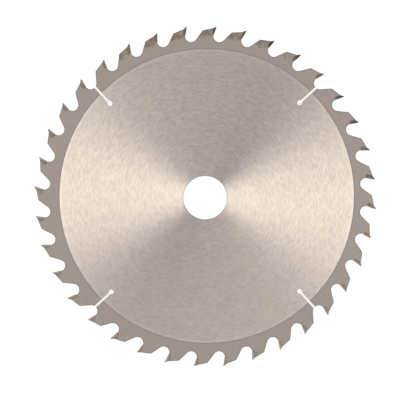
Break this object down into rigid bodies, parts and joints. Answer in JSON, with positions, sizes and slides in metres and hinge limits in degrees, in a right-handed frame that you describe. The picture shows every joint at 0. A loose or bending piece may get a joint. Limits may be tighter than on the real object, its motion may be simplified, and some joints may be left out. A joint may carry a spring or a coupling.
{
  "type": "circular saw blade",
  "caption": "Round steel saw blade with carbide-tipped teeth, rounded gullets, radial expansion slots ending in small holes, and a plain central bore.",
  "frame": {"origin": "centre of the bore, in the middle of the plate's thickness", "axes": "+Z along the axis of the bore, out of the face from which the blade cuts clockwise; +X and +Y in the plane of the plate, with the four expansion slots on its diagonals"},
  "size_m": [0.2344, 0.2344, 0.0028],
  "materials": {
    "ground_steel": "circumferentially ground tool steel, matt grey ring under the teeth",
    "cemented_carbide": "ground cemented carbide, dark grey, tinted brown by brazing",
    "braze": "silver brazing alloy, dull yellow-brown"
  },
  "bodies": {
    "root": {"saw_plate": "ground_steel", "braze_seams": "braze", "carbide_tip_01": "cemented_carbide", "carbide_tip_02": "cemented_carbide", "carbide_tip_03": "cemented_carbide", "carbide_tip_04": "cemented_carbide", "carbide_tip_05": "cemented_carbide", "carbide_tip_06": "cemented_carbide", "carbide_tip_07": "cemented_carbide", "carbide_tip_08": "cemented_carbide", "carbide_tip_09": "cemented_carbide", "carbide_tip_10": "cemented_carbide", "carbide_tip_11": "cemented_carbide", "carbide_tip_12": "cemented_carbide", "carbide_tip_13": "cemented_carbide", "carbide_tip_14": "cemented_carbide", "carbide_tip_15": "cemented_carbide", "carbide_tip_16": "cemented_carbide", "carbide_tip_17": "cemented_carbide", "carbide_tip_18": "cemented_carbide", "carbide_tip_19": "cemented_carbide", "carbide_tip_20": "cemented_carbide", "carbide_tip_21": "cemented_carbide", "carbide_tip_22": "cemented_carbide", "carbide_tip_23": "cemented_carbide", "carbide_tip_24": "cemented_carbide", "carbide_tip_25": "cemented_carbide", "carbide_tip_26": "cemented_carbide", "carbide_tip_27": "cemented_carbide", "carbide_tip_28": "cemented_carbide", "carbide_tip_29": "cemented_carbide", "carbide_tip_30": "cemented_carbide", "carbide_tip_31": "cemented_carbide", "carbide_tip_32": "cemented_carbide", "carbide_tip_33": "cemented_carbide", "carbide_tip_34": "cemented_carbide", "carbide_tip_35": "cemented_carbide", "carbide_tip_36": "cemented_carbide"}
  },
  "joints": []
}
